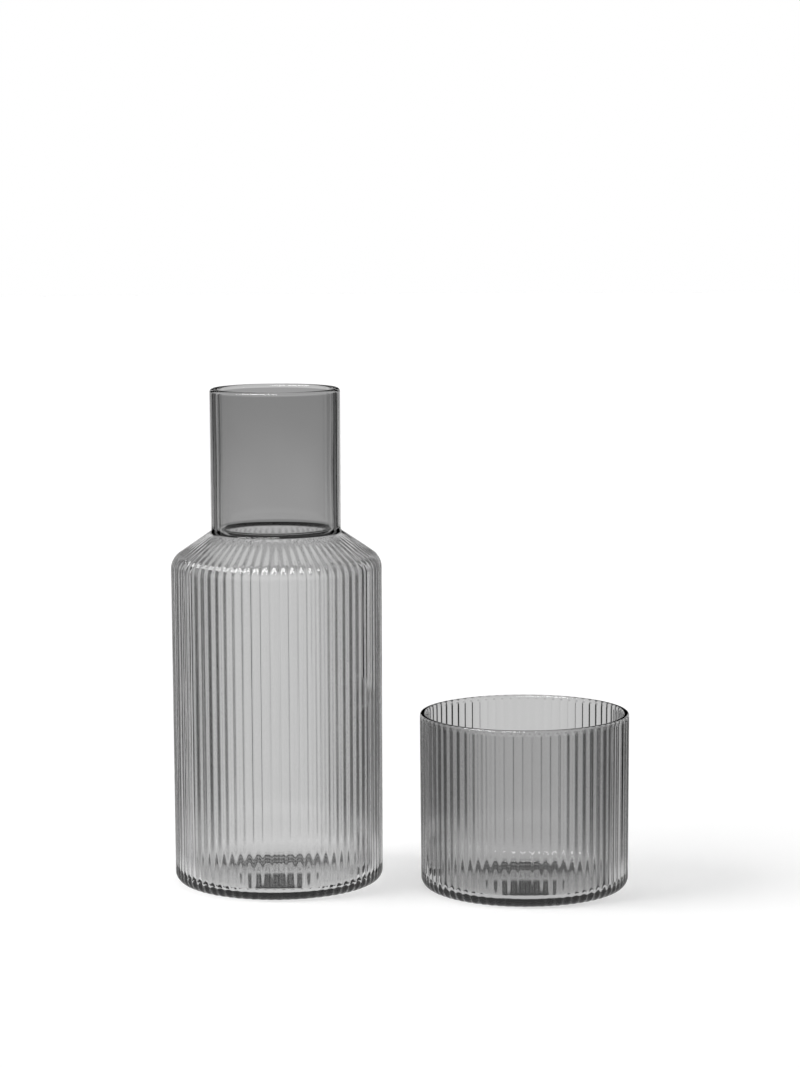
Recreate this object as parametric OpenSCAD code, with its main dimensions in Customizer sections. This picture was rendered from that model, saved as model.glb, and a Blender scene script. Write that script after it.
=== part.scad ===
// Bedside carafe with tumbler, two ribbed glass vessels that stand side by side

/* [Carafe] */
// Height of the carafe from the table to the top of its lip
carafe_h = 225; // [210:1:250]
// Outside diameter of the carafe's body over its ribs, under the shoulder
body_d = 95.4; // [90:0.1:105]
// How much smaller the body's radius is at its foot, from the taper of the mould
body_draft = 0.35; // [0:0.05:1]
// Outside diameter of the neck
neck_d = 58.7; // [54:0.1:64]
// Height of the neck above the point where the shoulder's slope meets it
neck_h = 64.4; // [55:0.1:75]
// Thickness of the neck's wall
neck_wall = 3.3; // [2.4:0.1:4.2]
// Thickness of the body's wall over the crest of a rib
carafe_wall = 1.6; // [1.4:0.1:2.6]
// Thickness of the carafe's floor over its standing ring
carafe_floor = 5; // [4:0.1:7]
// Slope of the shoulder below the horizontal, in degrees
shoulder_slope = 34.5; // [24:0.5:38]
// Radius at which the side turns into the shoulder
shoulder_round = 7.8; // [6:0.1:12]
// Radius at which the shoulder turns up into the neck
neck_round = 1.4; // [1:0.1:3]
// Radius inside, where the shoulder meets the bore of the neck
throat_round = 3; // [2:0.1:5]
// Turn of the carafe's ribs about its own axis, in degrees
carafe_turn = 1; // [-2.5:0.1:2.5]

/* [Tumbler] */
// Height of the tumbler from the table to the top of its rim
tumbler_h = 79.4; // [70:0.1:95]
// Outside diameter of the tumbler over its ribs, at its rim
tumbler_d = 94.3; // [88:0.1:100]
// How much smaller the tumbler's radius is at its foot
tumbler_draft = 0.35; // [0:0.05:1]
// Thickness of the tumbler's wall over the crest of a rib
tumbler_wall = 2.6; // [2:0.1:3.4]
// Thickness of the tumbler's floor over its standing ring
tumbler_floor = 5; // [4:0.1:7]
// Height over which the ribs run out under the rim
rim_fade = 1.2; // [0.8:0.1:3]
// Turn of the tumbler's ribs about its own axis, in degrees
tumbler_turn = 0.6; // [-2.5:0.1:2.5]

/* [Ribs] */
// Number of ribs round each vessel
rib_count = 72; // [60:1:76]
// Depth of the valley between two ribs
rib_depth = 0.48; // [0.3:0.01:0.6]

/* [Both bases] */
// Radius at which the side turns under to the table
foot_round = 4.8; // [3:0.1:6]
// Radius inside, where the wall meets the floor
floor_round = 4; // [2:0.1:6]
// Width of the flat ring that stands on the table
ring_w = 5; // [3:0.1:8]
// Height of the hollow under the base
kick_h = 1.2; // [0.6:0.1:2]

/* [Lips] */
// Width of the flat land left on top of a rounded lip
lip_land = 0.5; // [0.3:0.1:1]

/* [Place] */
// Clear space on the table between the two vessels
pair_gap = 17.9; // [5:0.1:60]
// How far the tumbler stands in front of the carafe's axis
pair_front = 15.9; // [0:0.1:40]

/* [Hidden] */
$fn = 96;
rib_steps = 4;
arc_steps = 4;
lip_steps = 3;
bore_steps = 8;
kick_steps = 4;
overrun = 2;
neck_seat = 1;
right_angle = 90;
half_turn = 180;
full_turn = 360;

body_r = body_d / 2;
neck_r = neck_d / 2;
bore_r = neck_r - neck_wall;
tumbler_r = tumbler_d / 2;
body_foot_r = body_r - body_draft;
tumbler_foot_r = tumbler_r - tumbler_draft;
neck_z = carafe_h - neck_h;
shoulder_turn = right_angle - shoulder_slope;

// Where the side of the carafe ends and its rounded shoulder starts
corner_z = neck_z - (body_r - neck_r) * tan(shoulder_slope);
side_top_z = corner_z - shoulder_round * tan(shoulder_turn / 2);

// Share of the full rib depth that is left at each ring of the outline
foot_ring_share = 0.5;
foot_arc_shares = [0.75, 1, 1, 1];
slope_end_share = 0.62;
neck_arc_shares = [0.45, 0.2];
rim_start_share = 0.5;
rim_arc_shares = [0.25, 0.1, 0];

// Places of the two axes, with the origin under the middle of the pair's box
pair_reach = body_r + pair_gap + tumbler_r;
pair_side = sqrt(pow(pair_reach, 2) - pow(pair_front, 2));
front_y = min(-body_r, -pair_front - tumbler_r);
back_y = max(body_r, -pair_front + tumbler_r);
carafe_x = (body_r - pair_side - tumbler_r) / 2;
carafe_y = -(front_y + back_y) / 2;
tumbler_x = carafe_x + pair_side;
tumbler_y = carafe_y - pair_front;

function polar(a) = [cos(a), sin(a)];

// Points on a round stretch of an outline, the first end left out
function round_points(middle, radius, from, to, steps) =
    [for (i = [1:steps]) middle + radius * polar(from + (to - from) * i / steps)];

// One ring of a ribbed outline: its point, the way its valleys are cut and their depth
function ring(point, cut, share) = [point[0], point[1], cut, share * rib_depth];

// Rings that turn from the standing ring up to the side of a vessel
function foot_rings(radius) =
    let (middle = [radius - foot_round, foot_round])
    concat(
        [ring(middle - [0, foot_round], 0, foot_ring_share)],
        [for (i = [1:arc_steps])
            let (a = right_angle * (i / arc_steps - 1))
            ring(middle + foot_round * polar(a), a, foot_arc_shares[i - 1])]
    );

// Rings of the carafe's outside, from the table to the inside of the neck's wall
function carafe_rings() =
    let (
        corner = [body_r - shoulder_round, side_top_z],
        root_x = neck_r + neck_round,
        root = [root_x, neck_z + (neck_round - (root_x - neck_r) * sin(shoulder_slope)) / cos(shoulder_slope)],
        root_from = half_turn + shoulder_turn
    )
    concat(
        foot_rings(body_foot_r),
        [ring([body_r, side_top_z], 0, 1)],
        [for (i = [1:arc_steps])
            let (a = shoulder_turn * i / arc_steps)
            ring(corner + shoulder_round * polar(a), a, 1)],
        [ring(root + neck_round * polar(root_from), shoulder_turn, slope_end_share)],
        [for (i = [1:len(neck_arc_shares)])
            let (a = root_from - shoulder_turn * i / (len(neck_arc_shares) + 1))
            ring(root + neck_round * polar(a), a - half_turn, neck_arc_shares[i - 1])],
        [ring([neck_r - neck_seat, root[1]], 0, 0)]
    );

// Rings of the tumbler's outside, from the table to the flat land of its rim
function tumbler_rings() =
    let (
        lip_r = (tumbler_wall - lip_land) / 2,
        lip = [tumbler_r - lip_r, tumbler_h - lip_r]
    )
    concat(
        foot_rings(tumbler_foot_r),
        [ring([tumbler_r, lip[1] - rim_fade], 0, 1)],
        [ring([tumbler_r, lip[1]], 0, rim_start_share)],
        [for (i = [1:lip_steps])
            let (a = right_angle * i / lip_steps)
            ring(lip + lip_r * polar(a), a, rim_arc_shares[i - 1])]
    );

// Solid skinned over the rings, with a round crest and a sharp valley for each rib
module ribbed_solid(rings, turn) {
    count = rib_count * rib_steps;
    last = len(rings) - 1;
    step = full_turn / count;
    side_points = [
        for (r = rings)
            for (i = [0:count - 1])
                let (
                    cut = r[3] * pow(2 * (i % rib_steps) / rib_steps - 1, 2),
                    radius = r[0] - cut * cos(r[2]),
                    around = polar(turn + (i - rib_steps / 2) * step)
                )
                [radius * around[0], radius * around[1], r[1] - cut * sin(r[2])]
    ];
    base_middle = len(side_points);
    side_faces = [
        for (j = [0:last - 1])
            for (i = [0:count - 1])
                let (
                    k = (i + 1) % count,
                    low = j * count,
                    high = low + count
                )
                for (f = [[low + i, high + i, high + k], [low + i, high + k, low + k]])
                    f
    ];
    base_faces = [for (i = [0:count - 1]) [base_middle, i, (i + 1) % count]];
    top_faces = [
        for (i = [0:count - 1])
            [base_middle + 1, last * count + (i + 1) % count, last * count + i]
    ];
    polyhedron(
        points = concat(side_points, [[0, 0, rings[0][1]], [0, 0, rings[last][1]]]),
        faces = concat(side_faces, base_faces, top_faces)
    );
}

// Neck's outside, from inside the shoulder up over the outer half of the lip
module neck_outside() {
    lip_r = (neck_wall - lip_land) / 2;
    lip = [neck_r - lip_r, carafe_h - lip_r];
    rotate_extrude()
        polygon(concat(
            [[0, neck_z - neck_seat], [neck_r, neck_z - neck_seat], [neck_r, lip[1]]],
            round_points(lip, lip_r, 0, right_angle, bore_steps),
            [[0, carafe_h]]
        ));
}

// Air inside the carafe: floor, side, shoulder, throat, bore and the inner half of the lip
module carafe_hollow() {
    inner_r = body_r - carafe_wall;
    floor_r = body_foot_r - carafe_wall;
    corner = [body_r - shoulder_round, side_top_z];
    slope_r = neck_r - carafe_wall * sin(shoulder_slope);
    slope_z = neck_z - carafe_wall * cos(shoulder_slope);
    throat_x = bore_r + throat_round;
    throat_z = slope_z + (throat_round - (throat_x - slope_r) * sin(shoulder_slope)) / cos(shoulder_slope);
    lip_r = (neck_wall - lip_land) / 2;
    rotate_extrude()
        polygon(concat(
            [[0, carafe_floor], [floor_r - floor_round, carafe_floor]],
            round_points([floor_r - floor_round, carafe_floor + floor_round], floor_round,
                -right_angle, 0, bore_steps),
            [[inner_r, side_top_z]],
            round_points(corner, shoulder_round - carafe_wall, 0, shoulder_turn, bore_steps),
            [[throat_x, throat_z] - throat_round * polar(shoulder_turn)],
            round_points([throat_x, throat_z], throat_round,
                half_turn + shoulder_turn, half_turn, bore_steps),
            [[bore_r, carafe_h - lip_r]],
            round_points([bore_r + lip_r, carafe_h - lip_r], lip_r,
                half_turn, right_angle, bore_steps),
            [[bore_r + lip_r, carafe_h + overrun], [0, carafe_h + overrun]]
        ));
}

// Air inside the tumbler: floor, side and the inner half of the rim
module tumbler_hollow() {
    inner_r = tumbler_r - tumbler_wall;
    floor_r = tumbler_foot_r - tumbler_wall;
    lip_r = (tumbler_wall - lip_land) / 2;
    rotate_extrude()
        polygon(concat(
            [[0, tumbler_floor], [floor_r - floor_round, tumbler_floor]],
            round_points([floor_r - floor_round, tumbler_floor + floor_round], floor_round,
                -right_angle, 0, bore_steps),
            [[inner_r, tumbler_h - lip_r]],
            round_points([inner_r + lip_r, tumbler_h - lip_r], lip_r,
                half_turn, right_angle, bore_steps),
            [[inner_r + lip_r, tumbler_h + overrun], [0, tumbler_h + overrun]]
        ));
}

// Shallow dished hollow under a base, inside its standing ring
module kick(radius) {
    edge = radius - foot_round - ring_w;
    ball = (pow(edge, 2) + pow(kick_h, 2)) / (2 * kick_h);
    rotate_extrude()
        polygon(concat(
            [[0, -overrun], [edge, -overrun], [edge, 0]],
            round_points([0, kick_h - ball], ball, acos(edge / ball), right_angle, kick_steps)
        ));
}

module carafe() {
    color([0.36, 0.37, 0.38])
        translate([carafe_x, carafe_y, 0])
            difference() {
                union() {
                    ribbed_solid(carafe_rings(), carafe_turn);
                    neck_outside();
                }
                carafe_hollow();
                kick(body_foot_r);
            }
}

module tumbler() {
    color([0.45, 0.46, 0.47])
        translate([tumbler_x, tumbler_y, 0])
            difference() {
                ribbed_solid(tumbler_rings(), tumbler_turn);
                tumbler_hollow();
                kick(tumbler_foot_r);
            }
}

carafe();
tumbler();
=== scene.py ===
"""Ribbed smoked glass carafe and tumbler, and the white table they are shown on."""

import math

import bmesh
import bpy
from mathutils import Matrix, Vector, noise


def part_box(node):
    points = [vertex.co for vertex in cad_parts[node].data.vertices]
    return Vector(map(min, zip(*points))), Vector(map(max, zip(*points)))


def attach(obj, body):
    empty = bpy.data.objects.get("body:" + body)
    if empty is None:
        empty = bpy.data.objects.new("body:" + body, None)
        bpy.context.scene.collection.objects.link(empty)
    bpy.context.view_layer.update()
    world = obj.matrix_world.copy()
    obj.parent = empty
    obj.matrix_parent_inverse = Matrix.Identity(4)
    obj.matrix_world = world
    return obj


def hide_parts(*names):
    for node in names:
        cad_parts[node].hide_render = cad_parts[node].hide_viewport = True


bl_info = {
    "name": "Ribbed Glass Carafe and Tumbler",
    "version": (1, 0, 0),
    "blender": (4, 5, 0),
    "location": "3D View > Sidebar > Glassware",
    "description": "Makes a ribbed smoked glass carafe with its tumbler, on a white table",
    "category": "Add Mesh",
}

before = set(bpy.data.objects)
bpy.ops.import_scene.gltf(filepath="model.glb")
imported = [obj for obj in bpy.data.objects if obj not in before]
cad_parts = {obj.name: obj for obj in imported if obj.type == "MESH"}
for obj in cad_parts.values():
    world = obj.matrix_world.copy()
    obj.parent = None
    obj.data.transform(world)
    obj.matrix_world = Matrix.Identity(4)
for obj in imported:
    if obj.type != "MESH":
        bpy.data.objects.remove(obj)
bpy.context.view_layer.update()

MM = 0.001
FULL_TURN = 2 * math.pi
RIGHT_ANGLE = math.pi / 2
Z_AXIS = (0.0, 0.0, 1.0)
ORIGIN = (0.0, 0.0, 0.0)
WHITE = (1.0, 1.0, 1.0, 1.0)

# Equal sectors that make up a vessel
SECTORS = 12
# Long edges are also cut this far from their ends, so that the shading of a corner stops there
HOLD = 0.5 * MM
LONGEST_EDGE = 9 * MM
# Points nearer than this become one, within a surface and where the inside joins the outside
SAME_POINT = 0.001 * MM
SAME_SEAM = 0.01 * MM

# Share of its edge that a rounding takes where it would otherwise use up the whole edge
NEARLY_ALL = 0.999
# Height of the hollow under the base halfway to the standing ring, as a share of its full height
HALFWAY_KICK = 0.75
# Share of the full rib depth at the table
FOOT_RIBS = 0.8
# The ribs of the shoulder run out over this distance from the neck
ROOT_FADE = 2.4 * MM
# Rates at which the rib depth varies with the rib's number and the height, and the row of noise it reads
UNEVEN_BY_RIB = 0.73
UNEVEN_BY_HEIGHT = 12.0
UNEVEN_ROW = 4.2
# Waves of the inside: their rates round the axis and with the height, their place in the noise,
# and the distance under the lip without any
WAVE_CIRCLE = 1.7
WAVE_BY_HEIGHT = 28.0
WAVE_PLACE = Vector((9.1, 3.3, 0.0))
CALM_LIP = 2 * MM

# The body's tint ends this far under the neck's root and the neck's tint starts this far over it
TINT_UNDER = 1 * MM
TINT_OVER = 1.5 * MM

# Painted shade: a dark strip on the table under the front of each vessel, seen only in the glass: share of
# its width that is fully dark, and the lengths of its soft ends
PAINTED_SHADE_CORE = 0.7
PAINTED_SHADE_RISE = 3 * MM
PAINTED_SHADE_FALL = 4 * MM
# Angles from the back, in radians, over which the side light comes up
SIDE_FROM = 1.2
SIDE_TO = 1.35
# The dark gap at the back ends over these angles and starts over these upward parts of a direction
GAP_FROM = 0.2
GAP_TO = 0.25
GAP_LOW = 0.05
GAP_HIGH = 0.08

TABLE_RADIUS = 6.0
TABLE_SIDES = 96
# The table lies this far under the standing rings, so that the two surfaces don't coincide
TABLE_DROP = 0.05 * MM
PAPER_COLOUR = (0.8, 0.8, 0.8, 1.0)
# Width of the camera's frame in millimetres
SENSOR_WIDTH = 36.0
# The softbox faces this point
AIM = Vector((0.0, 0.0, 0.1))


def smooth(value, low, high):
    """An even rise from 0 at low to 1 at high."""
    share = min(max((value - low) / (high - low), 0.0), 1.0)
    return share * share * (3 - 2 * share)


class Wire:
    """An output socket of a node tree, on which sums and products add Math nodes."""

    def __init__(self, recipe, socket):
        self.recipe = recipe
        self.socket = socket

    def math(self, operation, *values):
        return self.recipe.node("ShaderNodeMath", {"operation": operation}, dict(enumerate(values)))

    def __add__(self, other):
        return self.math("ADD", self, other)

    def __radd__(self, other):
        return self.math("ADD", other, self)

    def __sub__(self, other):
        return self.math("SUBTRACT", self, other)

    def __rsub__(self, other):
        return self.math("SUBTRACT", other, self)

    def __mul__(self, other):
        return self.math("MULTIPLY", self, other)

    def __rmul__(self, other):
        return self.math("MULTIPLY", other, self)

    def __truediv__(self, other):
        return self.math("DIVIDE", self, other)


class Recipe:
    """A node tree that is built one node at a time."""

    def __init__(self, tree):
        self.tree = tree
        tree.nodes.clear()

    def node(self, kind, settings=None, sockets=None, output=0):
        """Adds a node, with its settings first and then the values or links of its sockets."""
        made = self.tree.nodes.new(kind)
        for name, value in (settings or {}).items():
            setattr(made, name, value)
        for name, value in (sockets or {}).items():
            if isinstance(value, Wire):
                self.tree.links.new(value.socket, made.inputs[name])
            else:
                made.inputs[name].default_value = value
        if not made.outputs:
            return made
        return Wire(self, made.outputs[output])


def step(wire, low, high):
    """A soft step of a wire from 0 at low to 1 at high."""
    return wire.recipe.node(
        "ShaderNodeMapRange",
        {"interpolation_type": "SMOOTHSTEP"},
        {"Value": wire, "From Min": low, "From Max": high, "To Min": 0.0, "To Max": 1.0},
    )


def smoked_glass(name, settings, tints):
    """Smoky glass, tinted at its surfaces by height, that lets part of the lamps' light through."""
    material = bpy.data.materials.new(name)
    material.use_nodes = True
    recipe = Recipe(material.node_tree)
    place = recipe.node("ShaderNodeTexCoord", output="Object")
    parts = recipe.node("ShaderNodeSeparateXYZ", None, {"Vector": place})
    height = Wire(recipe, parts.socket.node.outputs["Z"])
    tops = [top for top, _ in tints]
    ramp = recipe.node("ShaderNodeValToRGB", None, {"Fac": (height - tops[0]) / (tops[-1] - tops[0])})
    elements = ramp.socket.node.color_ramp.elements
    while len(elements) < len(tints):
        elements.new(1.0)
    for element, (top, share) in zip(elements, tints):
        element.position = (top - tops[0]) / (tops[-1] - tops[0])
        element.color = (share, share, share, 1.0)
    cloud = recipe.node(
        "ShaderNodeTexNoise",
        {"noise_dimensions": "3D"},
        {"Vector": place, "Scale": settings.cloud_scale, "Detail": 1.0, "Roughness": 0.5},
    )
    shade = ramp * (1 + (cloud - 0.5) * settings.cloud)
    tint = recipe.node("ShaderNodeCombineColor", None, {0: shade, 1: shade, 2: shade})
    ripple = recipe.node(
        "ShaderNodeTexNoise",
        {"noise_dimensions": "3D"},
        {"Vector": place, "Scale": settings.ripple_scale, "Detail": 1.0, "Roughness": 0.4},
    )
    bump = recipe.node(
        "ShaderNodeBump",
        None,
        {"Height": ripple, "Strength": settings.ripple_strength, "Distance": settings.ripple_height},
    )
    haze = recipe.node(
        "ShaderNodeTexNoise",
        {"noise_dimensions": "3D"},
        {"Vector": place, "Scale": settings.haze_scale, "Detail": 2.0, "Roughness": 0.5},
    )
    body = recipe.node(
        "ShaderNodeBsdfPrincipled",
        None,
        {
            "Base Color": tint,
            "Roughness": haze * settings.haze,
            "IOR": settings.ior,
            "Transmission Weight": 1.0,
            "Normal": bump,
        },
    )
    passed = (settings.lamp_share,) * 3 + (1.0,)
    clear = recipe.node("ShaderNodeBsdfTransparent", None, {"Color": passed})
    lamps = recipe.node("ShaderNodeLightPath", output="Is Shadow Ray")
    surface = recipe.node("ShaderNodeMixShader", None, {0: lamps, 1: body, 2: clear})
    smoke = recipe.node(
        "ShaderNodeVolumeAbsorption",
        None,
        {"Color": tuple(settings.smoke_colour) + (1.0,), "Density": settings.smoke_density},
    )
    recipe.node("ShaderNodeOutputMaterial", None, {"Surface": surface, "Volume": smoke})
    return material


def outline(bm, corners):
    """Adds a chain of edges through the corners and rounds each corner that has a reach."""
    chain = [bm.verts.new((radius, 0.0, height)) for radius, height, _, _ in corners]
    for start, end in zip(chain, chain[1:]):
        bm.edges.new((start, end))
    for vert, (_, _, reach, pieces) in zip(chain, corners):
        if pieces:
            bmesh.ops.bevel(
                bm,
                geom=[vert],
                offset=reach,
                offset_type="OFFSET",
                segments=pieces,
                profile=0.5,
                affect="VERTICES",
                material=-1,
            )


def cut_long_edges(bm):
    """Cuts long edges close to both ends, so that curves next to them shade cleanly, then evenly."""
    for edge in list(bm.edges):
        if edge.calc_length() > 4 * HOLD:
            for end in list(edge.verts):
                bmesh.utils.edge_split(edge, end, HOLD / edge.calc_length())
        cuts = math.ceil(edge.calc_length() / LONGEST_EDGE) - 1
        if cuts > 0:
            bmesh.ops.subdivide_edges(bm, edges=[edge], cuts=cuts)


def spin_outline(bm, steps):
    """Spins the chain through one sector about Z, copies the sector round and joins it all."""
    sector_turn = FULL_TURN / SECTORS
    bmesh.ops.spin(
        bm,
        geom=list(bm.verts) + list(bm.edges),
        cent=ORIGIN,
        axis=Z_AXIS,
        dvec=ORIGIN,
        angle=sector_turn,
        steps=steps // SECTORS,
        use_merge=False,
    )
    sector = list(bm.verts) + list(bm.edges) + list(bm.faces)
    for place in range(1, SECTORS):
        copy = bmesh.ops.duplicate(bm, geom=sector)["geom"]
        verts = [part for part in copy if isinstance(part, bmesh.types.BMVert)]
        turn = Matrix.Rotation(place * sector_turn, 3, "Z")
        bmesh.ops.rotate(bm, verts=verts, cent=ORIGIN, matrix=turn)
    bmesh.ops.remove_doubles(bm, verts=bm.verts, dist=SAME_POINT)


def round_reach(radius, turn):
    """How far from a corner a rounding of this radius starts, where the outline turns by turn."""
    return radius * math.tan(turn / 2)


def make_glass(name, vessel, ribs):
    """A vessel of revolution: a ribbed outside and a slightly wavy inside, closed at the lip."""
    bm = bmesh.new()
    outline(bm, vessel["outside"])
    cut_long_edges(bm)
    spin_outline(bm, ribs.count * ribs.steps)
    bmesh.ops.recalc_face_normals(bm, faces=bm.faces)
    bm.normal_update()
    cut_ribs(bm, vessel, ribs)
    inner = bmesh.new()
    outline(inner, vessel["inside"])
    cut_long_edges(inner)
    spin_outline(inner, ribs.count * ribs.steps)
    wave_inside(inner, vessel, ribs)
    hollow = bpy.data.meshes.new(name + "_hollow")
    inner.to_mesh(hollow)
    inner.free()
    bm.from_mesh(hollow)
    bpy.data.meshes.remove(hollow)
    bmesh.ops.remove_doubles(bm, verts=bm.verts, dist=SAME_SEAM)
    bmesh.ops.recalc_face_normals(bm, faces=bm.faces)
    turn = Matrix.Rotation(math.radians(vessel["turn"]), 3, "Z")
    bmesh.ops.rotate(bm, verts=bm.verts, cent=ORIGIN, matrix=turn)
    bmesh.ops.translate(bm, verts=bm.verts, vec=vessel["axis"])
    for face in bm.faces:
        face.smooth = True
    mesh = bpy.data.meshes.new(name)
    bm.to_mesh(mesh)
    bm.free()
    piece = bpy.data.objects.new(name, mesh)
    bpy.context.scene.collection.objects.link(piece)
    return piece


def cut_ribs(bm, vessel, ribs):
    """Moves the outside in along its normals, most in the valleys between the ribs."""
    pitch = FULL_TURN / ribs.count
    moved = []
    for vert in bm.verts:
        radius = math.hypot(vert.co.x, vert.co.y)
        share = vessel["rib_share"](radius, vert.co.z)
        if share <= 0:
            continue
        turns = math.atan2(vert.co.y, vert.co.x) / pitch
        rib = round(turns)
        off = min(abs(turns - rib) * 2, 1.0)
        spot = Vector((rib * UNEVEN_BY_RIB, vert.co.z * UNEVEN_BY_HEIGHT, UNEVEN_ROW))
        uneven = 1 + ribs.uneven * noise.noise(spot)
        way = vert.normal.copy()
        if vert.co.z < vessel["foot"]:
            way.z = 0
            way.normalize()
        lobe = (1 - math.cos(off * math.pi)) / 2
        moved.append((vert, way * -(ribs.depth * share * uneven * lobe)))
    for vert, shift in moved:
        vert.co += shift


def wave_inside(bm, vessel, ribs):
    """Gives the blown inside its slight waves."""
    bmesh.ops.recalc_face_normals(bm, faces=bm.faces)
    bm.normal_update()
    for vert in bm.verts:
        if vert.co.z > vessel["lip_z"] - CALM_LIP:
            continue
        angle = math.atan2(vert.co.y, vert.co.x)
        across = math.cos(angle) * WAVE_CIRCLE
        along = math.sin(angle) * WAVE_CIRCLE
        spot = Vector((across, along, vert.co.z * WAVE_BY_HEIGHT))
        fade = smooth(vert.co.z, vessel["foot"], vessel["foot"] * 3)
        vert.co += vert.normal * (ribs.wave * fade * noise.noise(spot + WAVE_PLACE))


def length_setting(name, text, metres):
    return bpy.props.FloatProperty(name=name, description=text, default=metres, unit="LENGTH")


def angle_setting(name, text, degrees):
    turn = math.radians(degrees)
    return bpy.props.FloatProperty(name=name, description=text, default=turn, subtype="ANGLE")


def plain_setting(name, text, value):
    return bpy.props.FloatProperty(name=name, description=text, default=value)


class RIBBED_PG_ribs(bpy.types.PropertyGroup):
    """Sizes of the ribs on both vessels."""

    count: bpy.props.IntProperty(name="Ribs", description="Ribs round each vessel", default=72)
    steps: bpy.props.IntProperty(name="Steps", description="Columns of points for each rib", default=8)
    depth: length_setting("Depth", "Depth of the valley between two ribs", 0.6 * MM)
    uneven: plain_setting("Unevenness", "Share by which the rib depth varies", 0.1)
    wave: length_setting("Inside waves", "Height of the waves of the blown inside", 0.1 * MM)


class RIBBED_PG_carafe(bpy.types.PropertyGroup):
    """Sizes of the carafe."""

    neck_d: length_setting("Neck", "Outside diameter of the neck", 58.7 * MM)
    neck_h: length_setting("Neck height", "Height of the neck over the shoulder", 64.4 * MM)
    neck_wall: length_setting("Neck wall", "Thickness of the neck's wall", 3.3 * MM)
    wall: length_setting("Wall", "Thickness of the body's wall over a rib", 1.6 * MM)
    floor: length_setting("Floor", "Height of the inside floor over the table", 3.5 * MM)
    draft: length_setting("Draft", "How much smaller the radius is at the foot", 0.35 * MM)
    slope: angle_setting("Shoulder slope", "Slope of the shoulder", 34.5)
    shoulder_round: length_setting("Shoulder radius", "Radius of the shoulder's corner", 7.8 * MM)
    neck_round: length_setting("Neck root radius", "Radius at the root of the neck", 1.4 * MM)
    throat_round: length_setting("Throat radius", "Radius inside the root of the neck", 3 * MM)
    turn: plain_setting("Rib turn", "Turn of the ribs, in degrees", 2.1)


class RIBBED_PG_tumbler(bpy.types.PropertyGroup):
    """Sizes of the tumbler."""

    wall: length_setting("Wall", "Thickness of the wall over a rib", 2.6 * MM)
    floor: length_setting("Floor", "Height of the inside floor over the table", 3.5 * MM)
    draft: length_setting("Draft", "How much smaller the radius is at the foot", 0.35 * MM)
    rim_fade: length_setting("Rim fade", "Height over which the ribs run out", 1.2 * MM)
    turn: plain_setting("Rib turn", "Turn of the ribs, in degrees", 3.1)


class RIBBED_PG_base(bpy.types.PropertyGroup):
    """Sizes that both bases and lips share."""

    foot_round: length_setting("Foot radius", "Radius at the bottom of the side", 4.8 * MM)
    floor_round: length_setting("Floor radius", "Radius inside at the floor", 4 * MM)
    ring: length_setting("Standing ring", "Width of the ring that stands", 5 * MM)
    kick: length_setting("Kick", "Height of the hollow under the base", 0.9 * MM)
    lip_land: length_setting("Lip land", "Flat width on top of a lip", 0.5 * MM)


class RIBBED_PG_glass(bpy.types.PropertyGroup):
    """Finish of the glass."""

    ior: plain_setting("IOR", "Index of refraction", 1.5)
    smoke_colour: bpy.props.FloatVectorProperty(
        name="Smoke",
        description="Colour that the glass lets through",
        default=(0.5, 0.5, 0.5),
        subtype="COLOR",
    )
    smoke_density: plain_setting("Smoke density", "Density of the smoke in the glass", 80.0)
    body_tint: plain_setting("Body tint", "Light that the body's tint passes", 0.9)
    neck_tint_low: plain_setting("Neck tint below", "Light that the tint passes at the neck's root", 0.75)
    neck_tint_high: plain_setting("Neck tint above", "Light that the tint passes at the mouth", 0.75)
    tumbler_tint: plain_setting("Tumbler tint", "Light that the tumbler's tint passes", 0.75)
    cloud: plain_setting("Cloud", "Share by which the tint varies", 0.04)
    cloud_scale: plain_setting("Cloud scale", "Scale of that variation", 25.0)
    haze: plain_setting("Haze", "Most roughness of the surface", 0.02)
    haze_scale: plain_setting("Haze scale", "Scale of the haze", 60.0)
    ripple_scale: plain_setting("Ripple scale", "Scale of the ripple", 90.0)
    ripple_strength: plain_setting("Ripple", "Strength of the ripple", 0.1)
    ripple_height: length_setting("Ripple height", "Height of the ripple", 0.05 * MM)
    lamp_share: plain_setting("Lamp share", "Share of lamp light that each surface lets through", 0.76)


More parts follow.
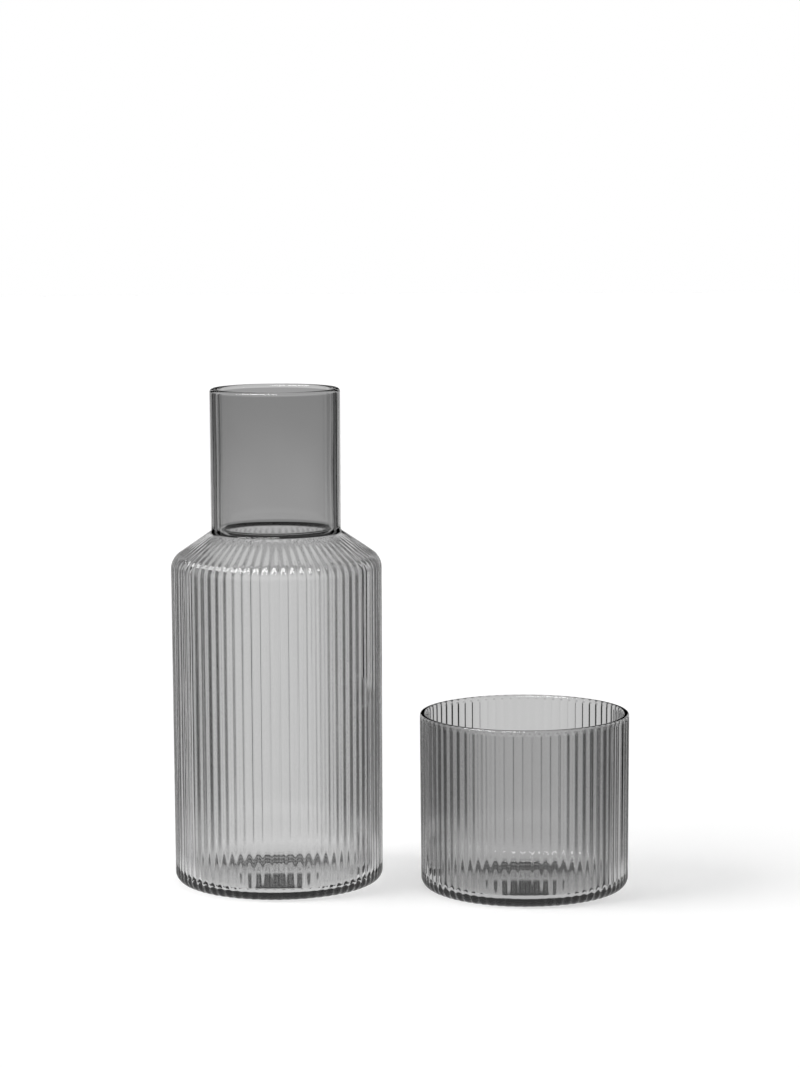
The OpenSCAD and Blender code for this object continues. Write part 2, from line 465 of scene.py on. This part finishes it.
class RIBBED_PG_studio(bpy.types.PropertyGroup):
    """The table, the lamps and the camera."""

    camera_back: length_setting("Camera distance", "From the camera to the carafe's axis", 1.4131)
    camera_side: length_setting("Camera side", "Camera to the right of the carafe's axis", 0.05603)
    camera_height: length_setting("Camera height", "Camera over the table", 0.3302)
    camera_down: angle_setting("Camera tilt", "Tilt below the horizontal", 6.916)
    camera_roll: angle_setting("Camera roll", "Roll of the camera", -0.3)
    # The next three set the painted shade: a dark strip on the table under the front of each vessel, seen
    # only in the glass
    painted_shade_width: length_setting("Dark strip", "Half width of the dark strip under each vessel", 0.013)
    painted_shade_front: length_setting("Strip start", "Where that strip starts, behind the vessel's axis", -0.04)
    painted_shade_back: length_setting("Strip end", "How far behind the vessel's axis that strip ends", 0.0)
    near: length_setting("Near table", "Where the table starts to give way to the walls in the glass", 0.07)
    far: length_setting("Far table", "Where only the walls show in the glass", 0.1)
    wall_light: plain_setting("Walls", "Most light of the walls", 0.86)
    ceiling: plain_setting("Ceiling", "Share of that light overhead", 0.3)
    ceiling_from: plain_setting("Ceiling from", "Upward part of a direction where the ceiling starts", 0.35)
    ceiling_to: plain_setting("Ceiling to", "Upward part of a direction where only the ceiling shows", 0.7)
    side_light: plain_setting("Side light", "Share of the walls' light at the sides and in front", 0.75)
    floor_light: plain_setting("Floor", "Share of that light from below", 0.9)
    floor_from: plain_setting("Floor from", "Downward part of a direction where the floor starts", 0.2)
    floor_to: plain_setting("Floor to", "Downward part of a direction where only the floor shows", 0.25)
    fade: plain_setting("Fade", "Share of the walls' light lost over the horizon", 0.4)
    fade_from: plain_setting("Fade from", "Upward part of a direction where the walls start to fade", -0.125)
    fade_to: plain_setting("Fade to", "Upward part of a direction where the walls have faded", -0.07)
    bright_from: plain_setting("Bright from", "Upward part of a direction where the walls brighten", 0.05)
    bright_to: plain_setting("Bright to", "Upward part of a direction where the walls are bright again", 0.11)
    ambient: plain_setting("Ambient", "Even light on matt surfaces", 0.52)
    paper_glow: plain_setting("Paper white", "Light added to the table where the camera sees it", 0.3)
    sun: plain_setting("Window", "Light of the wide soft lamp", 2.0)
    sun_width: angle_setting("Window width", "How wide the soft lamp is", 35)
    sun_lean: angle_setting("Window lean", "Lean of the soft lamp from overhead", 50)
    sun_turn: angle_setting("Window turn", "Turn of the soft lamp about the upright", 10)
    card_azimuth: angle_setting("Card azimuth", "Place of the softbox round the pair", -42)
    card_lift: angle_setting("Card lift", "Height angle of the softbox", 54)
    card_away: length_setting("Card distance", "Distance of the softbox", 1.25)
    card_width: length_setting("Card width", "Width of the softbox", 1.5)
    card_height: length_setting("Card height", "Height of the softbox", 0.5)
    card_watts: plain_setting("Card power", "Power of the softbox", 25.0)
    lens: plain_setting("Lens", "Focal length in millimetres", 106.17)


def lip_reach(wall, land):
    """Reach of the rounding on each side of a lip with a flat land on top."""
    return (wall - land) / 2


def foot_share(z, base):
    """Share of the full rib depth at a height over the table: a little less at the very foot."""
    return FOOT_RIBS + (1 - FOOT_RIBS) * smooth(z, 0.0, base.foot_round)


def node_axis(node):
    """Where the upright axis of a vessel in the frame meets the table."""
    low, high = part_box(node)
    return Vector(((low.x + high.x) / 2, (low.y + high.y) / 2, 0.0))


def carafe_vessel(scene):
    """The carafe's outlines, from its box in the frame and its own sizes."""
    sizes = scene.ribbed_carafe
    base = scene.ribbed_base
    low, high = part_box("carafe")
    body_r = (high.x - low.x) / 2
    height = high.z
    neck_r = sizes.neck_d / 2
    bore_r = neck_r - sizes.neck_wall
    neck_z = height - sizes.neck_h
    slope = sizes.slope
    turn = RIGHT_ANGLE - slope
    corner_z = neck_z - (body_r - neck_r) * math.tan(slope)
    lip = lip_reach(sizes.neck_wall, base.lip_land)
    foot_r = body_r - sizes.draft
    ring_r = foot_r - base.foot_round
    outside = [
        (0.0, base.kick, 0, 0),
        ((ring_r - base.ring) * 0.5, base.kick * HALFWAY_KICK, 0, 0),
        (ring_r - base.ring, 0.0, 0, 0),
        (foot_r, 0.0, base.foot_round, 8),
        (body_r, corner_z, round_reach(sizes.shoulder_round, turn), 10),
        (neck_r, neck_z, round_reach(sizes.neck_round, turn), 5),
        (neck_r, height, lip, 6),
        (bore_r + lip, height, 0, 0),
    ]
    inner_r = body_r - sizes.wall
    slope_r = neck_r - sizes.wall * math.sin(slope)
    slope_z = neck_z - sizes.wall * math.cos(slope)
    inner_corner_z = slope_z - (inner_r - slope_r) * math.tan(slope)
    throat_z = slope_z + (slope_r - bore_r) * math.tan(slope)
    inside = [
        (bore_r + lip, height, 0, 0),
        (bore_r, height, lip * NEARLY_ALL, 6),
        (bore_r, throat_z, round_reach(sizes.throat_round, turn), 6),
        (inner_r, inner_corner_z, round_reach(sizes.shoulder_round - sizes.wall, turn), 8),
        (foot_r - sizes.wall, sizes.floor, base.floor_round, 8),
        (0.0, sizes.floor, 0, 0),
    ]

    def rib_share(radius, z):
        foot = foot_share(z, base)
        ring = smooth(radius, ring_r - base.ring, ring_r)
        root = smooth(radius, neck_r, neck_r + ROOT_FADE)
        return foot * ring * root

    return {
        "outside": outside,
        "inside": inside,
        "rib_share": rib_share,
        "foot": base.foot_round * 0.5,
        "lip_z": height,
        "turn": sizes.turn,
        "axis": node_axis("carafe"),
    }


def tumbler_vessel(scene):
    """The tumbler's outlines, from its box in the frame and its own sizes."""
    sizes = scene.ribbed_tumbler
    base = scene.ribbed_base
    low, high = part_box("tumbler")
    body_r = (high.x - low.x) / 2
    height = high.z
    inner_r = body_r - sizes.wall
    lip = lip_reach(sizes.wall, base.lip_land)
    foot_r = body_r - sizes.draft
    ring_r = foot_r - base.foot_round
    outside = [
        (0.0, base.kick, 0, 0),
        ((ring_r - base.ring) * 0.5, base.kick * HALFWAY_KICK, 0, 0),
        (ring_r - base.ring, 0.0, 0, 0),
        (foot_r, 0.0, base.foot_round, 8),
        (body_r, height - lip - sizes.rim_fade, 0, 0),
        (body_r, height, lip, 6),
        (inner_r + lip, height, 0, 0),
    ]
    inside = [
        (inner_r + lip, height, 0, 0),
        (inner_r, height, lip * NEARLY_ALL, 6),
        (foot_r - sizes.wall, sizes.floor, base.floor_round, 8),
        (0.0, sizes.floor, 0, 0),
    ]

    def rib_share(radius, z):
        foot = foot_share(z, base)
        ring = smooth(radius, ring_r - base.ring, ring_r)
        rim = 1 - smooth(z, height - lip - sizes.rim_fade, height)
        return foot * ring * rim

    return {
        "outside": outside,
        "inside": inside,
        "rib_share": rib_share,
        "foot": base.foot_round * 0.5,
        "lip_z": height,
        "turn": sizes.turn,
        "axis": node_axis("tumbler"),
    }


def carafe_tints(scene):
    """Heights over the table and the share of light that the tint lets through there."""
    glass = scene.ribbed_glass
    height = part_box("carafe")[1].z
    root = height - scene.ribbed_carafe.neck_h
    return [
        (0.0, glass.body_tint),
        (root - TINT_UNDER, glass.body_tint),
        (root + TINT_OVER, glass.neck_tint_low),
        (height, glass.neck_tint_high),
    ]


def tumbler_tints(scene):
    """The same list for the tumbler, whose tint is even."""
    glass = scene.ribbed_glass
    return [(0.0, glass.tumbler_tint), (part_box("tumbler")[1].z, glass.tumbler_tint)]


class RIBBED_OT_carafe(bpy.types.Operator):
    """Make the ribbed carafe"""

    bl_idname = "ribbed.carafe"
    bl_label = "Carafe"

    def execute(self, context):
        scene = context.scene
        piece = make_glass("ribbed_carafe", carafe_vessel(scene), scene.ribbed_ribs)
        piece.data.materials.append(smoked_glass("carafe_glass", scene.ribbed_glass, carafe_tints(scene)))
        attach(piece, "carafe")
        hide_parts("carafe")
        return {"FINISHED"}


class RIBBED_OT_tumbler(bpy.types.Operator):
    """Make the ribbed tumbler"""

    bl_idname = "ribbed.tumbler"
    bl_label = "Tumbler"

    def execute(self, context):
        scene = context.scene
        piece = make_glass("ribbed_tumbler", tumbler_vessel(scene), scene.ribbed_ribs)
        piece.data.materials.append(smoked_glass("tumbler_glass", scene.ribbed_glass, tumbler_tints(scene)))
        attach(piece, "tumbler")
        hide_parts("tumbler")
        return {"FINISHED"}


# The studio round the glass: degrees from the back towards the right, and the walls' share of light there
SURROUNDINGS = (
    (-180, 0.05),
    (-72, 0.05),
    (-70, 0.80),
    (-65, 0.80),
    (-63, 0.00),
    (-54, 0.00),
    (-52, 1.00),
    (-43, 0.90),
    (-41, 0.00),
    (-24, 0.00),
    (-22.5, 1.00),
    (22.5, 1.00),
    (24, 0.00),
    (41, 0.00),
    (43, 0.90),
    (52, 1.00),
    (54, 0.00),
    (63, 0.00),
    (65, 0.60),
    (70, 0.60),
    (72, 0.05),
)


def surroundings(recipe, angle):
    """Brightness of the studio in a flat direction: white walls with dark gaps between them."""
    ramp = recipe.node("ShaderNodeValToRGB", None, {"Fac": angle / FULL_TURN + 0.5})
    elements = ramp.socket.node.color_ramp.elements
    while len(elements) < len(SURROUNDINGS):
        elements.new(1.0)
    for element, (degrees, share) in zip(elements, SURROUNDINGS):
        element.position = degrees / 360 + 0.5
        element.color = (share, share, share, 1.0)
    return ramp


def seen_in_glass(recipe):
    """1 for rays that leave the glass or bounce off it, 0 for the camera and for matt surfaces."""
    path = recipe.node("ShaderNodeLightPath")
    glossy = Wire(recipe, path.socket.node.outputs["Is Glossy Ray"])
    through = Wire(recipe, path.socket.node.outputs["Is Transmission Ray"])
    return glossy.math("MAXIMUM", glossy, through)


def under_vessels(recipe, place, studio):
    """Distance to the nearer vessel's axis, and the painted shade: a dark strip on the table under the front
    of each vessel.
    """
    reaches = []
    painted_shades = []
    for node in ("carafe", "tumbler"):
        ends = {0: place, 1: node_axis(node)}
        offset = recipe.node("ShaderNodeVectorMath", {"operation": "SUBTRACT"}, ends)
        reach = recipe.node("ShaderNodeVectorMath", {"operation": "LENGTH"}, {0: offset}, output="Value")
        reaches.append(reach)
        parts = recipe.node("ShaderNodeSeparateXYZ", None, {"Vector": offset})
        sideways = recipe.node("ShaderNodeMath", {"operation": "ABSOLUTE"}, {0: parts})
        behind = Wire(recipe, parts.socket.node.outputs["Y"])
        # Painted shade: the strip runs across the front half of each vessel's footprint
        across = 1 - step(sideways, studio.painted_shade_width * PAINTED_SHADE_CORE, studio.painted_shade_width)
        along = step(behind, studio.painted_shade_front, studio.painted_shade_front + PAINTED_SHADE_RISE)
        end = step(behind, studio.painted_shade_back - PAINTED_SHADE_FALL, studio.painted_shade_back + PAINTED_SHADE_FALL)
        painted_shades.append(across * along * (1 - end))
    return reaches[0].math("MINIMUM", *reaches), painted_shades[0].math("MAXIMUM", *painted_shades)


def table_paper(studio):
    """White paper with soft shadows. In the glass it is even, with a dark strip of painted shade under each
    vessel, and gone far away.
    """
    material = bpy.data.materials.new("table_paper")
    material.use_nodes = True
    recipe = Recipe(material.node_tree)
    place = recipe.node("ShaderNodeTexCoord", output="Object")
    away, strip = under_vessels(recipe, place, studio)
    far = step(away, studio.near, studio.far)
    # Painted shade: the paper that the glass sees is darkened in the strip under each vessel
    lit = 1 - strip
    glass = seen_in_glass(recipe)
    camera = recipe.node("ShaderNodeLightPath", output="Is Camera Ray")
    matt = recipe.node("ShaderNodeBsdfDiffuse", None, {"Color": PAPER_COLOUR})
    glow = recipe.node("ShaderNodeEmission", None, {"Color": WHITE, "Strength": camera * studio.paper_glow})
    both = recipe.node("ShaderNodeAddShader", None, {0: matt, 1: glow})
    even = recipe.node("ShaderNodeEmission", None, {"Color": WHITE, "Strength": lit * studio.wall_light})
    clear = recipe.node("ShaderNodeBsdfTransparent", None, {"Color": WHITE})
    inside = recipe.node("ShaderNodeMixShader", None, {0: far, 1: even, 2: clear})
    surface = recipe.node("ShaderNodeMixShader", None, {0: glass, 1: both, 2: inside})
    recipe.node("ShaderNodeOutputMaterial", None, {"Surface": surface})
    return material


def make_table(studio):
    """The round white table, which is staging and no part of the object."""
    bm = bmesh.new()
    bmesh.ops.create_circle(bm, cap_ends=True, segments=TABLE_SIDES, radius=TABLE_RADIUS)
    mesh = bpy.data.meshes.new("table")
    bm.to_mesh(mesh)
    bm.free()
    table = bpy.data.objects.new("table", mesh)
    table.location.z = -TABLE_DROP
    table.data.materials.append(table_paper(studio))
    bpy.context.scene.collection.objects.link(table)


def white_world(scene, studio):
    """White to the camera, walls with dark gaps in the glass, and even grey light on matt surfaces."""
    world = bpy.data.worlds.new("white_studio")
    world.use_nodes = True
    scene.world = world
    recipe = Recipe(world.node_tree)
    place = recipe.node("ShaderNodeTexCoord", output="Generated")
    parts = recipe.node("ShaderNodeSeparateXYZ", None, {"Vector": place})
    sideways = Wire(recipe, parts.socket.node.outputs["X"])
    backwards = Wire(recipe, parts.socket.node.outputs["Y"])
    height = Wire(recipe, parts.socket.node.outputs["Z"])
    angle = recipe.node("ShaderNodeMath", {"operation": "ARCTAN2"}, {0: sideways, 1: backwards})
    walls = surroundings(recipe, angle)
    above = step(height, studio.ceiling_from, studio.ceiling_to)
    below = step(0 - height, studio.floor_from, studio.floor_to)
    level = (1 - above) * (1 - below)
    faded = step(height, studio.fade_from, studio.fade_to)
    band = faded * (1 - step(height, studio.bright_from, studio.bright_to))
    fade = 1 - band * studio.fade
    off = recipe.node("ShaderNodeMath", {"operation": "ABSOLUTE"}, {0: angle})
    beside = step(off, SIDE_FROM, SIDE_TO) * faded * studio.side_light
    walls = walls.math("MAXIMUM", walls, beside)
    gap = (1 - step(off, GAP_FROM, GAP_TO)) * step(height, GAP_LOW, GAP_HIGH)
    ends = studio.ceiling * above + studio.floor_light * below
    room = (walls * fade * (1 - gap) * level + ends) * studio.wall_light
    glass = seen_in_glass(recipe)
    camera = recipe.node("ShaderNodeLightPath", output="Is Camera Ray")
    plain = camera * (1 - studio.ambient) + studio.ambient
    strength = glass * room + (1 - glass) * plain
    back = recipe.node("ShaderNodeBackground", None, {"Color": WHITE, "Strength": strength})
    recipe.node("ShaderNodeOutputWorld", None, {"Surface": back})


def make_soft_sun(studio):
    """A wide soft lamp from the left that lays the faint shadows on the table."""
    data = bpy.data.lights.new("window", "SUN")
    data.energy = studio.sun
    data.angle = studio.sun_width
    lamp = bpy.data.objects.new("window", data)
    lamp.rotation_euler = (0.0, -studio.sun_lean, studio.sun_turn)
    lamp.visible_glossy = False
    lamp.visible_transmission = False
    bpy.context.scene.collection.objects.link(lamp)


def make_lamp(name, place, aim, width, height, watts):
    """A flat rectangular lamp that faces a point."""
    data = bpy.data.lights.new(name, "AREA")
    data.shape = "RECTANGLE"
    data.size = width
    data.size_y = height
    data.energy = watts
    lamp = bpy.data.objects.new(name, data)
    lamp.location = place
    lamp.rotation_euler = (aim - place).to_track_quat("-Z", "Y").to_euler()
    bpy.context.scene.collection.objects.link(lamp)
    return lamp


def make_softbox(studio):
    """The large softbox at the front left, which shows only as highlights."""
    azimuth = studio.card_azimuth
    lift = studio.card_lift
    right = math.sin(azimuth) * math.cos(lift)
    back = -math.cos(azimuth) * math.cos(lift)
    place = AIM + studio.card_away * Vector((right, back, math.sin(lift)))
    card = make_lamp("softbox", place, AIM, studio.card_width, studio.card_height, studio.card_watts)
    card.visible_diffuse = False
    card.visible_transmission = False


def make_camera(scene, studio):
    """The camera of the main view."""
    data = bpy.data.cameras.new("camera")
    data.lens = studio.lens
    data.sensor_width = SENSOR_WIDTH
    camera = bpy.data.objects.new("camera", data)
    offset = Vector((studio.camera_side, -studio.camera_back, studio.camera_height))
    roll = Matrix.Rotation(studio.camera_roll, 4, "Z")
    tilt = Matrix.Rotation(RIGHT_ANGLE - studio.camera_down, 4, "X")
    camera.matrix_world = Matrix.Translation(node_axis("carafe") + offset) @ tilt @ roll
    scene.collection.objects.link(camera)
    scene.camera = camera


class RIBBED_OT_studio(bpy.types.Operator):
    """Make the white table, the soft lamps and the camera"""

    bl_idname = "ribbed.studio"
    bl_label = "Studio"

    def execute(self, context):
        scene = context.scene
        studio = scene.ribbed_studio
        make_camera(scene, studio)
        make_table(studio)
        white_world(scene, studio)
        make_soft_sun(studio)
        make_softbox(studio)
        scene.view_settings.view_transform = "Standard"
        scene.cycles.max_bounces = 32
        scene.cycles.min_light_bounces = 16
        scene.cycles.transmission_bounces = 28
        scene.cycles.glossy_bounces = 16
        scene.cycles.transparent_max_bounces = 32
        return {"FINISHED"}


class RIBBED_PT_panel(bpy.types.Panel):
    """Lists the pieces that can be made."""

    bl_label = "Ribbed glassware"
    bl_idname = "RIBBED_PT_panel"
    bl_space_type = "VIEW_3D"
    bl_region_type = "UI"
    bl_category = "Glassware"

    def draw(self, context):
        column = self.layout.column(align=True)
        for operator in OPERATORS:
            column.operator(operator.bl_idname)


GROUPS = {
    "ribbed_ribs": RIBBED_PG_ribs,
    "ribbed_carafe": RIBBED_PG_carafe,
    "ribbed_tumbler": RIBBED_PG_tumbler,
    "ribbed_base": RIBBED_PG_base,
    "ribbed_glass": RIBBED_PG_glass,
    "ribbed_studio": RIBBED_PG_studio,
}
OPERATORS = (RIBBED_OT_carafe, RIBBED_OT_tumbler, RIBBED_OT_studio)
CLASSES = (*GROUPS.values(), *OPERATORS, RIBBED_PT_panel)


def register():
    for one in CLASSES:
        bpy.utils.register_class(one)
    for name, group in GROUPS.items():
        setattr(bpy.types.Scene, name, bpy.props.PointerProperty(type=group))


def unregister():
    for name in GROUPS:
        delattr(bpy.types.Scene, name)
    for one in reversed(CLASSES):
        bpy.utils.unregister_class(one)


def main():
    """Makes the two vessels and the studio."""
    register()
    bpy.ops.ribbed.carafe()
    bpy.ops.ribbed.tumbler()
    bpy.ops.ribbed.studio()


if __name__ == "__main__":
    main()
